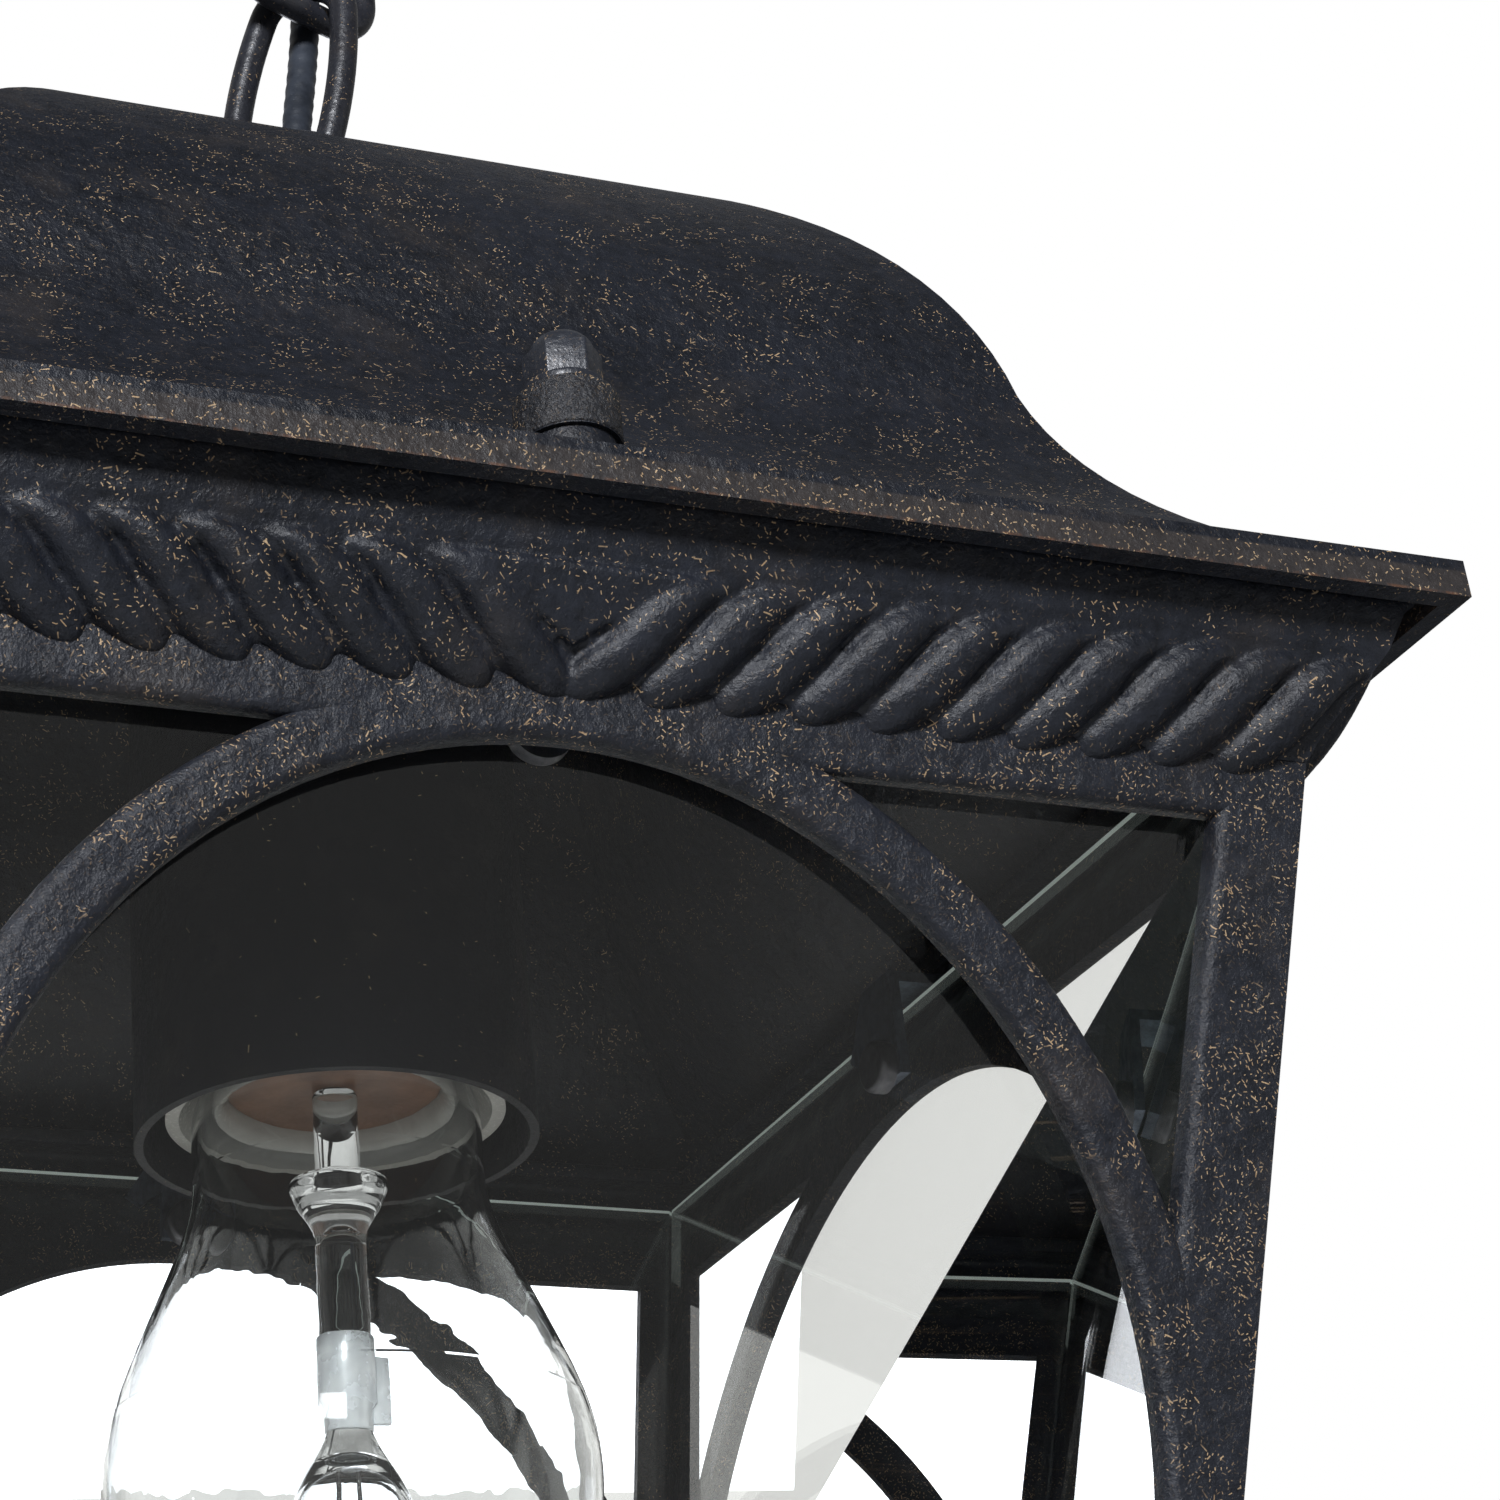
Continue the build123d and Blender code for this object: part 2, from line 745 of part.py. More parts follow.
with BuildPart() as bulb_stem:
    with BuildSketch(roof_side):
        with BuildLine():
            flare_edge = Polyline((0, base_bottom), (stem_flare, base_bottom), (stem_flare, base_bottom - 2))
            cone = RadiusArc(flare_edge @ 1, (stem_radius, base_bottom - 24), 24)
            Polyline(cone @ 1, (stem_radius, stem_low), (0, stem_low), (0, base_bottom))
        make_face()
    revolve(axis=upright)
finish(bulb_stem, "bulb_stem")

# Capsule: a small glass pear under the stem, held in a sheet collar, with its filament
finish(sleeve(stem_low - collar_drop, stem_low, collar_radius, stem_radius), "capsule_collar")
inner_radius = capsule_radius - capsule_wall
widest = -84.0
pinch_top = capsule_top - 4.5
with BuildPart() as capsule:
    with BuildSketch(roof_side):
        with BuildLine():
            neck_edge = Line((0, capsule_top), (stem_radius - 0.2, capsule_top))
            pear = Bezier(neck_edge @ 1, (4.0, capsule_top - 5), (capsule_radius, widest + 8), (capsule_radius, widest))
            end = Bezier(pear @ 1, (capsule_radius, widest - 7), (5.0, capsule_low), (0, capsule_low))
            Line(end @ 1, (0, capsule_top))
        make_face()
    revolve(axis=upright)
    with BuildSketch(roof_side):
        with BuildLine():
            pinch = Line((0, pinch_top), (1.2, pinch_top))
            inner = Bezier(pinch @ 1, (5.0, pinch_top - 1), (inner_radius, widest + 6), (inner_radius, widest))
            inner_low = capsule_low + capsule_wall
            inner_end = Bezier(inner @ 1, (inner_radius, widest - 6.4), (4.6, inner_low), (0, inner_low))
            Line(inner_end @ 1, (0, pinch_top))
        make_face()
    revolve(axis=upright, mode=Mode.SUBTRACT)
finish(capsule, "capsule")
with BuildPart() as filament:
    with BuildSketch(Plane.XY.offset(above_rim(capsule_low + 6))):
        Circle(filament_radius)
    extrude(amount=pinch_top - capsule_low - 6)
finish(filament, "filament")


# Chain: three rounded rectangular links, each turned a quarter from the next
def link(top, angle):
    """One closed link that hangs on the chain's line, with its top wire at a height."""
    plane = Plane(origin=at_hang(top - link_height / 2), x_dir=along(angle, 1), z_dir=along(angle - 90, 1))
    with BuildPart() as ring:
        with BuildSketch(plane, mode=Mode.PRIVATE) as shape:
            RectangleRounded(link_width, link_height, link_corner)
        path = shape.sketch.face().outer_wire()
        with BuildSketch(Plane(origin=path @ 0, z_dir=path % 0)):
            Circle(link_wire)
        sweep(path=path)
    return ring


for number, (top, angle) in enumerate(zip(link_tops, link_angles), start=1):
    finish(link(top, angle), f"chain_link_{number}")

# Cord: out of the loop, up beside the chain in one corner of the links, and into the canopy
corner = at_hang(0) + along(link_turn, cord_reach) + along(link_turn + 90, cord_reach)
pivots = [hook_low] + link_lows
cord_low = above_rim(114)
cord_bend = above_rim(158)
cord_turn = above_rim(122)
cord_end = -12.0
side_points = [Vector(0, 0, cord_low), Vector(0, 0, cord_turn), Vector(corner.X, corner.Y, cord_bend)]
hook_foot = -canopy_height - collar_height


def cord_piece(points, low, high):
    """Cord along tangent arcs between points, cut level at both ends."""
    runs = [(b - a).length for a, b in zip(points, points[1:])]
    turns = [
        (b - a).get_angle(c - b) for a, b, c in zip(points, points[1:], points[2:])
    ]
    radii = [
        0.45 * min(one, two) / math.tan(math.radians(turn / 2))
        for one, two, turn in zip(runs, runs[1:], turns)
    ]
    with BuildPart() as tube:
        with BuildLine() as path:
            if radii:
                FilletPolyline(*points, radius=radii)
            else:
                Line(*points)
        with BuildSketch(Plane(origin=path.line @ 0, z_dir=path.line % 0)):
            Circle(cord_radius)
        sweep(path=path.line)
        length = sum(edge.length for edge in path.edges())
        ratio = tube.part.volume / (math.pi * cord_radius ** 2 * length)
        split(bisect_by=Plane.XY.offset(low), keep=Keep.TOP)
        split(bisect_by=Plane.XY.offset(high), keep=Keep.BOTTOM)
    print("cord radii", [round(radius, 1) for radius in radii], "volume over tube", round(ratio, 2))
    return tube


half_gap = swing_gap / 2
lean_way = (side_points[2] - side_points[1]).normalized()
swing_point = pivots[3]
crossing = side_points[1] + lean_way * ((swing_point - cord_turn) / lean_way.Z)
upper = crossing + lean_way * 3
lower = crossing - lean_way * 3
finish(cord_piece([side_points[0], side_points[1], upper], cord_low, swing_point - half_gap), "cord_lamp")
link_3_end = Vector(corner.X, corner.Y, pivots[2])
finish(cord_piece([lower, side_points[2], link_3_end], swing_point + half_gap, pivots[2] - half_gap), "cord_link_3")
for number in (2, 1):
    low, high = pivots[number], pivots[number - 1]
    ends = [Vector(corner.X, corner.Y, low), Vector(corner.X, corner.Y, high)]
    finish(cord_piece(ends, low + half_gap, high - half_gap), f"cord_link_{number}")
entry = [
    Vector(corner.X, corner.Y, hook_low),
    Vector(corner.X, corner.Y, hook_low + 9),
    at_hang(hook_foot - 4),
    at_hang(cord_end),
]
finish(cord_piece(entry, hook_low + half_gap, cord_end), "cord_ceiling")
with BuildPart() as cord_pipe:
    with BuildSketch(Plane.XY.offset(above_rim(pipe_low))):
        Circle(cord_radius)
    extrude(amount=cord_low - above_rim(pipe_low))
finish(cord_pipe, "cord_pipe")

# Hook: the bow under the canopy, on a threaded stem that screws into the bar
hook_plane = Plane(
    origin=at_hang(hook_foot + 2), x_dir=along(link_turn + 90, 1), z_dir=along(link_turn + 180, 1)
)
hook_length = hook_drop + 2 - hook_half
stem_end = 10.0
hook_bow = bow_path(hook_plane, hook_half, hook_length)
with BuildPart() as canopy_hook:
    add(hook_bow.line)
    with BuildSketch(Plane(origin=hook_bow.line @ 0, z_dir=hook_bow.line % 0)):
        Circle(hook_wire)
    sweep(path=hook_bow.line)
    with BuildSketch(Plane(origin=at_hang(hook_foot - 1))):
        Circle(barrel_radius)
    extrude(amount=barrel_top - hook_foot + 1)
    with BuildSketch(Plane(origin=at_hang(barrel_top))):
        Circle(pipe_radius)
    extrude(amount=-barrel_top - stem_end)
    with BuildSketch(Plane(origin=at_hang(hook_foot - 2))):
        Circle(pipe_bore)
    extrude(amount=-hook_foot, mode=Mode.SUBTRACT)
finish(canopy_hook, "canopy_hook")

# Bar: a stepped strip against the ceiling, slotted for the two box screws
bar_low = -bar_step - bar_sheet
with BuildPart() as ceiling_bar:
    with BuildSketch(Plane(origin=at_hang(0), x_dir=(1, 0, 0), z_dir=(0, -1, 0))):
        with BuildLine():
            Polyline(
                (-bar_length / 2, 0),
                (-bar_length / 2, -bar_sheet),
                (-bar_shelf, -bar_sheet),
                (-bar_shelf, bar_low),
                (bar_shelf, bar_low),
                (bar_shelf, -bar_sheet),
                (bar_length / 2, -bar_sheet),
                (bar_length / 2, 0),
                (bar_shelf - bar_sheet, 0),
                (bar_shelf - bar_sheet, -bar_step),
                (bar_sheet - bar_shelf, -bar_step),
                (bar_sheet - bar_shelf, 0),
                close=True,
            )
        make_face()
    extrude(amount=bar_width / 2, both=True)
    with BuildSketch(Plane(origin=at_hang(bar_low))):
        Circle(pipe_radius + fit)
    extrude(amount=bar_sheet, mode=Mode.SUBTRACT)
    with BuildSketch(Plane(origin=at_hang(-bar_sheet))):
        with GridLocations(box_screw_spacing, 0, 2, 1):
            SlotOverall(*box_screw_slot)
    extrude(amount=bar_sheet, mode=Mode.SUBTRACT)
finish(ceiling_bar, "ceiling_bar")
bar_nut_height = 4.0
finish(hex_nut(at_hang(bar_low - bar_nut_height), bar_nut_height), "bar_lock_nut")

# Canopy: a shallow round cup against the ceiling, held up by a ring on the hook
canopy_hole = barrel_radius + 0.4
canopy_flat = 24.0
canopy_step = 12.0
with BuildPart() as canopy:
    with BuildSketch(Plane(origin=at_hang(0), x_dir=(1, 0, 0), z_dir=(0, -1, 0))):
        with BuildLine():
            Polyline(
                (canopy_hole, -canopy_height),
                (canopy_flat, -canopy_height),
                (canopy_flat + 5, -canopy_height + 6),
                (canopy_radius - 9.5, -canopy_step),
                (canopy_radius - 5.5, -5),
                (canopy_radius, -4),
                (canopy_radius, 0),
                (canopy_radius - canopy_sheet, 0),
                (canopy_radius - canopy_sheet, canopy_sheet - 4),
                (canopy_radius - 5.5 - canopy_sheet, canopy_sheet - 5),
                (canopy_radius - 9.5 - canopy_sheet, canopy_sheet - canopy_step),
                (canopy_flat + 5 - canopy_sheet, -canopy_height + 6 + canopy_sheet),
                (canopy_flat - canopy_sheet, -canopy_height + canopy_sheet),
                (canopy_hole, -canopy_height + canopy_sheet),
                close=True,
            )
        make_face()
    revolve(axis=Axis((hang.X, hang.Y, 0), (0, 0, 1)))
finish(canopy, "canopy")

with BuildPart() as canopy_ring:
    with BuildSketch(Plane(origin=at_hang(-canopy_height - ring_height))):
        Circle(canopy_ring_radius)
    extrude(amount=ring_height)
    fillet(canopy_ring.edges().group_by(Axis.Z)[0], radius=1.8)
    with BuildSketch(Plane(origin=at_hang(-canopy_height - ring_height))):
        Circle(barrel_radius + fit)
    extrude(amount=ring_height, mode=Mode.SUBTRACT)
finish(canopy_ring, "canopy_ring")

print("rim height in the lamp", round(rim_z, 3), "hang", round(hang.X, 3), round(hang.Y, 3))
print("hook low", round(hook_low, 3), "link lows", [round(low, 3) for low in link_lows])
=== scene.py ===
import math

import bmesh
import bpy
from mathutils import Matrix, Vector


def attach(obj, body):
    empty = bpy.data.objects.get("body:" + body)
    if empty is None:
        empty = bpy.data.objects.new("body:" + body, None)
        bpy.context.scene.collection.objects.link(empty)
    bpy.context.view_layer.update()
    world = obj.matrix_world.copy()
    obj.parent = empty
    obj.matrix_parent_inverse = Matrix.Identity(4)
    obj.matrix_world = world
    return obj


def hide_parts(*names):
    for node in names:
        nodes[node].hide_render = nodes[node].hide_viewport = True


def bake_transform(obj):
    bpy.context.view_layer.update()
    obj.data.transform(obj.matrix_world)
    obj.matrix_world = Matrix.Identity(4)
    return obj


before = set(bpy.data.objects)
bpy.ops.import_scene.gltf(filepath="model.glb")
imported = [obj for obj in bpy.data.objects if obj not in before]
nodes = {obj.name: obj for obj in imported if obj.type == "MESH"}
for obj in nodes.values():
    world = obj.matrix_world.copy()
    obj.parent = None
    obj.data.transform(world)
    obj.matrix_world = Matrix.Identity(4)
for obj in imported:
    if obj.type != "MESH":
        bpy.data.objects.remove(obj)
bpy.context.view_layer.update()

# A square lantern of cast black metal on a chain, in metres; the ceiling is at z = 0.
mm = 0.001
rim = -0.32305
hang = Vector((2.0 * mm, -2.45 * mm, 0))
scene = bpy.context.scene


# ---------------------------------------------------------------- camera

def set_camera():
    """The photograph's view: close under the front of the roof, looking up, a little tilted."""
    lens = bpy.data.cameras.new("view_from_below")
    lens.sensor_width = 36
    lens.lens = 67.16
    lens.shift_x = 0.3138
    lens.shift_y = 0.1665
    lens.clip_start = 0.01
    lens.clip_end = 50
    turn, rise, roll = 0.282, 0.420, -0.036
    ahead = Vector((math.sin(turn) * math.cos(rise), math.cos(turn) * math.cos(rise), math.sin(rise)))
    level = Vector((math.cos(turn), -math.sin(turn), 0))
    above = level.cross(ahead)
    right = level * math.cos(roll) + above * math.sin(roll)
    up = above * math.cos(roll) - level * math.sin(roll)
    camera = bpy.data.objects.new("view_from_below", lens)
    scene.collection.objects.link(camera)
    place = Matrix((right, up, -ahead)).transposed().to_4x4()
    place.translation = (-0.09781, -0.31515, -0.48247)
    camera.matrix_world = place
    scene.camera = camera


set_camera()


# ---------------------------------------------------------------- making materials

class Wire:
    """An output of a node. Sums written on it add Math nodes."""

    def __init__(self, finish, socket):
        self.finish = finish
        self.socket = socket

    def other(self, name):
        """Another output of the same node."""
        return Wire(self.finish, self.socket.node.outputs[name])

    def math(self, operation, *operands):
        return self.finish.node("ShaderNodeMath", {"operation": operation}, dict(enumerate(operands)))

    def __add__(self, other):
        return self.math("ADD", self, other)

    def __radd__(self, other):
        return self.math("ADD", other, self)

    def __sub__(self, other):
        return self.math("SUBTRACT", self, other)

    def __rsub__(self, other):
        return self.math("SUBTRACT", other, self)

    def __mul__(self, other):
        return self.math("MULTIPLY", self, other)

    def __rmul__(self, other):
        return self.math("MULTIPLY", other, self)

    def __truediv__(self, other):
        return self.math("DIVIDE", self, other)

    def __pow__(self, other):
        return self.math("POWER", self, other)

    def least(self, other):
        return self.math("MINIMUM", self, other)

    def most(self, other):
        return self.math("MAXIMUM", self, other)

    def part(self, axis):
        """One axis of a vector or colour."""
        return self.finish.node("ShaderNodeSeparateXYZ", {}, {0: self}, out=axis)


class Finish:
    """A material being made, with the few node groups that the lantern's finishes share."""

    def __init__(self, name, tree=None):
        if tree is None:
            self.material = bpy.data.materials.new(name)
            self.material.use_nodes = True
            tree = self.material.node_tree
        self.tree = tree
        self.tree.nodes.clear()

    def node(self, kind, settings=None, sockets=None, out=0):
        """Add a node: its settings first, then its sockets' values or links."""
        made = self.tree.nodes.new(kind)
        for key, value in (settings or {}).items():
            if key == "stops":
                ramp = made.color_ramp
                while len(ramp.elements) < len(value):
                    ramp.elements.new(0.5)
                for element, (position, colour) in zip(ramp.elements, value):
                    element.position = position
                    element.color = (*colour, 1)
            else:
                setattr(made, key, value)
        for key, value in (sockets or {}).items():
            if isinstance(value, Wire):
                self.tree.links.new(value.socket, made.inputs[key])
            elif isinstance(value, tuple) and len(value) == 3 and made.inputs[key].type == "RGBA":
                made.inputs[key].default_value = (*value, 1)
            else:
                made.inputs[key].default_value = value
        return Wire(self, made.outputs[out]) if made.outputs else made

    def place(self):
        """Position on the piece, in metres."""
        return self.node("ShaderNodeTexCoord", out="Object")

    def vector(self, operation, *operands, out=0):
        return self.node("ShaderNodeVectorMath", {"operation": operation}, dict(enumerate(operands)), out)

    def scaled(self, vector, factor):
        return self.node("ShaderNodeVectorMath", {"operation": "SCALE"}, {0: vector, "Scale": factor})

    def mix(self, factor, first, second, mode="MIX"):
        """Two colours mixed by a factor."""
        return self.node("ShaderNodeMix", {"data_type": "RGBA", "blend_type": mode},
                         {0: factor, 6: first, 7: second}, out=2)

    def noise(self, size, detail=3.0, roughness=0.5, where=None, seed=0.0):
        """Soft noise whose blobs are about a size across, in metres."""
        return self.node("ShaderNodeTexNoise", {"noise_dimensions": "4D"},
                         {"Vector": where or self.place(), "W": seed, "Scale": 1 / size, "Detail": detail,
                          "Roughness": roughness})

    def step(self, value, low, high):
        """0 below low, 1 above high, smooth between."""
        return self.node("ShaderNodeMapRange", {"interpolation_type": "SMOOTHSTEP"},
                         {"Value": value, "From Min": low, "From Max": high})

    def spread(self, value, low, high):
        """A noise spread out linearly from low to high."""
        return self.node("ShaderNodeMapRange", {"clamp": True},
                         {"Value": value, "From Min": 0.3, "From Max": 0.7, "To Min": low, "To Max": high})

    def bump(self, height, depth, under=None):
        """Bumps of a depth in metres, over others."""
        sockets = {"Strength": 1.0, "Distance": depth, "Height": height}
        if under is not None:
            sockets["Normal"] = under
        return self.node("ShaderNodeBump", {}, sockets)

    def surface(self, colour, roughness, normal=None, **sockets):
        """A Principled surface, put out as the material."""
        given = {"Base Color": colour, "Roughness": roughness}
        if normal is not None:
            given["Normal"] = normal
        for name, value in sockets.items():
            given[name.replace("_", " ").title().replace("Ior", "IOR")] = value
        shader = self.node("ShaderNodeBsdfPrincipled", {}, given)
        self.node("ShaderNodeOutputMaterial", {}, {"Surface": shader})
        return self.material

    def clear_in_shadow(self, glass, colour):
        """A glass that lets light through in a colour instead of casting a solid shadow."""
        through = self.node("ShaderNodeBsdfTransparent", {}, {"Color": colour})
        shadow = self.node("ShaderNodeLightPath", out="Is Shadow Ray")
        mixed = self.node("ShaderNodeMixShader", {}, {0: shadow, 1: glass, 2: through})
        self.node("ShaderNodeOutputMaterial", {}, {"Surface": mixed})
        return self.material


def flecks(finish, cell, length, width, share, seed):
    """Mask of short straight rubs of bare gold, one at most to a cell, lying in the surface."""
    moved = finish.vector("ADD", finish.place(), (seed, seed * 0.7, -seed * 0.4))
    spots = finish.node("ShaderNodeTexVoronoi", {"feature": "F1"}, {"Vector": moved, "Scale": 1 / cell},
                        out="Position")
    chance = spots.other("Color")
    facing = finish.node("ShaderNodeNewGeometry", out="Normal")
    away = finish.vector("SUBTRACT", moved, spots)
    above = finish.vector("DOT_PRODUCT", away, facing, out="Value")
    flat = finish.vector("SUBTRACT", away, finish.scaled(facing, above))
    lay = finish.vector("SUBTRACT", chance, (0.5, 0.5, 0.5))
    side = finish.vector("NORMALIZE", finish.vector("CROSS_PRODUCT", lay, facing))
    across = finish.vector("DOT_PRODUCT", flat, side, out="Value")
    along = finish.vector("LENGTH", finish.vector("SUBTRACT", flat, finish.scaled(side, across)), out="Value")
    beyond = (along - length * 0.5 * (0.2 + chance.part("X"))).most(0.0)
    distance = (across * across + beyond * beyond) ** 0.5
    kept = finish.step(chance.part("Y"), 1 - share, 1.02 - share)
    return finish.step(distance, width, width * 0.4) * kept


def black_metal(name, lit=(0.021, 0.0245, 0.035), dark=(0.004, 0.005, 0.0075), gold=0.5, grain=1.0,
                roughness=0.44, warm=0.0, specular=0.45, worn_below=None):
    """Sandy black paint over cast metal, mottled, with gold-brown rubs scattered in drifts.

    Below a given height, but not on faces that look down, it is browner and more rubbed, with copper
    along the very edge."""
    finish = Finish(name)
    mottle = finish.spread(finish.noise(2.1 * mm, 5.0, 0.66), 0.0, 1.0)
    drift = finish.spread(finish.noise(22 * mm, 3.0, 0.55, seed=3.0), 0.0, 1.0)
    colour = finish.mix(mottle * 0.62 + drift * 0.38, dark, lit)
    brown = finish.step(finish.noise(11 * mm, 4.0, 0.6, seed=7.0), 0.50, 0.72) * (0.3 + warm)
    crowd = 0.08 + finish.step(finish.noise(6 * mm, 4.0, 0.65, seed=11.0), 0.46, 0.60)
    if worn_below is not None:
        height = finish.place().part("Z")
        leaning = finish.node("ShaderNodeNewGeometry", out="Normal").part("Z")
        upright = finish.step(leaning, -0.7, -0.4)
        worn = finish.step(height, worn_below, worn_below - 0.4 * mm) * upright
        brown = (brown * (1 - worn) + worn * (0.35 + 0.5 * mottle)).least(1.0)
        crowd = crowd + worn * 0.6
    colour = finish.mix(brown, colour, (0.062, 0.052, 0.046))
    if worn_below is not None:
        edge = finish.step(height, rim + 0.45 * mm, rim + 0.15 * mm) * upright
        colour = finish.mix(edge * finish.step(mottle, 0.35, 0.8) * 0.7, colour, (0.16, 0.075, 0.04))
    large = flecks(finish, 1.5 * mm, 0.75 * mm, 0.10 * mm, 0.40 * gold, 0.31)
    small = flecks(finish, 0.7 * mm, 0.36 * mm, 0.075 * mm, 0.8 * gold, 0.83)
    rubs = ((large + small) * crowd).least(1.0)
    tone = finish.mix(finish.noise(1.7 * mm, 1.0, seed=5.0), (0.30, 0.17, 0.08), (0.75, 0.56, 0.34))
    colour = finish.mix(rubs, colour, tone)
    sand = finish.noise(0.40 * mm, 3.0, 0.7, seed=1.0)
    peel = finish.noise(1.6 * mm, 3.0, 0.55, seed=2.0)
    wave = finish.noise(5 * mm, 2.0, 0.5, seed=4.0)
    normal = finish.bump(wave, 0.55 * mm * grain)
    normal = finish.bump(peel, 0.40 * mm * grain, normal)
    normal = finish.bump(sand, 0.17 * mm * grain, normal)
    shine = finish.spread(sand, roughness + 0.12, roughness - 0.12)
    return finish.surface(colour, shine, normal, specular_ior_level=specular)


def pane_glass():
    """Clear sheet glass with a faint green cast, in which the room behind looks a little grey."""
    finish = Finish("sheet_glass")
    cast = finish.mix(finish.noise(30 * mm, 2.0), (0.965, 0.972, 0.955), (0.975, 0.98, 0.965))
    shader = finish.node("ShaderNodeBsdfPrincipled", {}, {
        "Base Color": cast, "Roughness": 0.0, "IOR": 1.5, "Transmission Weight": 1.0,
    })
    return finish.clear_in_shadow(shader, (0.9, 0.92, 0.9))


def ground_edge_painted_glow():
    """Ground edge of sheet glass, pale green, with a painted glow: a faint emission stands in for the light that the
    sheet carries to its edge.
    """
    finish = Finish("ground_edge_painted_glow")
    frost = finish.noise(0.6 * mm, 3.0)
    colour = finish.mix(frost, (0.62, 0.78, 0.72), (0.90, 0.96, 0.93))
    # The emission is painted light: a glow on a part that is no lamp.
    return finish.surface(colour, finish.spread(frost, 0.4, 0.6), finish.bump(frost, 0.05 * mm),
                          emission_color=colour, emission_strength=0.22)


def blown_glass():
    """Thin blown glass of the bulb and its parts, with slow waves."""
    finish = Finish("blown_glass")
    wave = finish.bump(finish.noise(9 * mm, 2.0), 0.10 * mm)
    tint = finish.mix(finish.noise(6 * mm, 2.0, seed=2.0), (0.985, 0.99, 0.99), (0.96, 0.975, 0.98))
    shader = finish.node("ShaderNodeBsdfPrincipled", {}, {
        "Base Color": tint, "Roughness": 0.0, "IOR": 1.5, "Transmission Weight": 1.0, "Normal": wave,
    })
    return finish.clear_in_shadow(shader, (0.95, 0.95, 0.95))


def metal(name, bright, dull, roughness, scratch=0.6 * mm, metallic=1.0):
    """Bare metal: fine scratches, dull patches and small dents."""
    finish = Finish(name)
    patches = finish.spread(finish.noise(3 * mm, 4.0, 0.6), 0.0, 1.0)
    long_way = finish.vector("MULTIPLY", finish.place(), (1.0, 1.0, 0.12))
    scratches = finish.noise(scratch, 3.0, 0.6, where=long_way, seed=2.0)
    colour = finish.mix(patches * 0.7 + finish.spread(scratches, 0.0, 0.3), dull, bright)
    normal = finish.bump(scratches, 0.03 * mm, finish.bump(finish.noise(4 * mm, 2.0, seed=5.0), 0.2 * mm))
    return finish.surface(colour, finish.spread(patches, roughness + 0.12, roughness - 0.06), normal,
                          metallic=metallic)


def moulded(name, light, dark, roughness, depth=0.04 * mm):
    """Moulded or fired material: cloudy colour and a fine grain."""
    finish = Finish(name)
    cloud = finish.spread(finish.noise(5 * mm, 4.0, 0.6), 0.0, 1.0)
    grain = finish.noise(0.5 * mm, 3.0, 0.6, seed=3.0)
    colour = finish.mix(cloud * 0.8 + finish.spread(grain, 0.0, 0.2), dark, light)
    return finish.surface(colour, finish.spread(grain, roughness + 0.06, roughness - 0.06), finish.bump(grain, depth))


def filament_wire():
    """Cold filament: dark grey, wound finely."""
    finish = Finish("filament_wire")
    height = finish.node("ShaderNodeSeparateXYZ", {}, {0: finish.place()}, out="Z")
    turns = height * (2 * math.pi / (0.35 * mm))
    wound = turns.math("SINE", turns)
    colour = finish.mix(finish.spread(finish.noise(1 * mm), 0.0, 1.0), (0.10, 0.10, 0.11), (0.30, 0.29, 0.28))
    return finish.surface(colour, 0.35, finish.bump(wound, 0.05 * mm), metallic=1.0)


def cord_jacket():
    """Dull slate jacket of the cord, with faint handling marks."""
    finish = Finish("cord_jacket")
    cloud = finish.spread(finish.noise(4 * mm, 4.0, 0.6), 0.0, 1.0)
    fine = finish.noise(0.35 * mm, 2.0, seed=2.0)
    colour = finish.mix(cloud, (0.020, 0.024, 0.032), (0.060, 0.070, 0.090))
    return finish.surface(colour, finish.spread(fine, 0.46, 0.36), finish.bump(fine, 0.03 * mm))


def dress(material, *names):
    """Give CAD nodes a finish."""
    for name in names:
        for place in nodes[name].material_slots:
            place.material = material


sides = ("front", "right", "back", "left")
roof_paint = black_metal("roof_paint", gold=0.45, grain=0.8, worn_below=rim + 3.4 * mm)
wall_paint = black_metal("wall_paint", lit=(0.026, 0.030, 0.042), gold=0.9)
frieze_paint = black_metal("frieze_paint", lit=(0.026, 0.030, 0.042), gold=0.5, grain=0.7)
trim_paint = black_metal("trim_paint", lit=(0.030, 0.033, 0.044), gold=0.8, grain=0.8, warm=0.2)
nut_paint = black_metal("nut_paint", lit=(0.040, 0.045, 0.058), dark=(0.012, 0.013, 0.018), gold=0.6, grain=0.35,
                        roughness=0.36, specular=0.8)
boss_paint = black_metal("boss_paint", lit=(0.034, 0.036, 0.043), dark=(0.012, 0.012, 0.014), gold=1.4, grain=1.8,
                         warm=0.3, specular=0.7)
chain_paint = black_metal("chain_paint", lit=(0.038, 0.041, 0.052), dark=(0.012, 0.012, 0.016), gold=0.3,
                          grain=0.3, roughness=0.34, warm=0.25, specular=0.8)
cover_paint = black_metal("cover_paint", lit=(0.018, 0.019, 0.024), dark=(0.009, 0.010, 0.013), gold=0.04,
                          grain=0.3, roughness=0.5, specular=0.2)
dress(roof_paint, "roof")
dress(wall_paint, *[f"wall_{side}" for side in sides], "bottom_rail")
dress(frieze_paint, *[f"frieze_{side}" for side in sides])
dress(trim_paint, "roof_neck", "cap_nuts", "canopy", "canopy_ring")
dress(chain_paint, "roof_loop", "chain_link_1", "chain_link_2", "chain_link_3", "canopy_hook")
dress(cover_paint, "socket_cover")
clear_sheet = pane_glass()
dress(clear_sheet, *[f"pane_{side}" for side in sides])
bulb_clear = blown_glass()
dress(bulb_clear, "bulb_glass", "bulb_stem", "capsule")
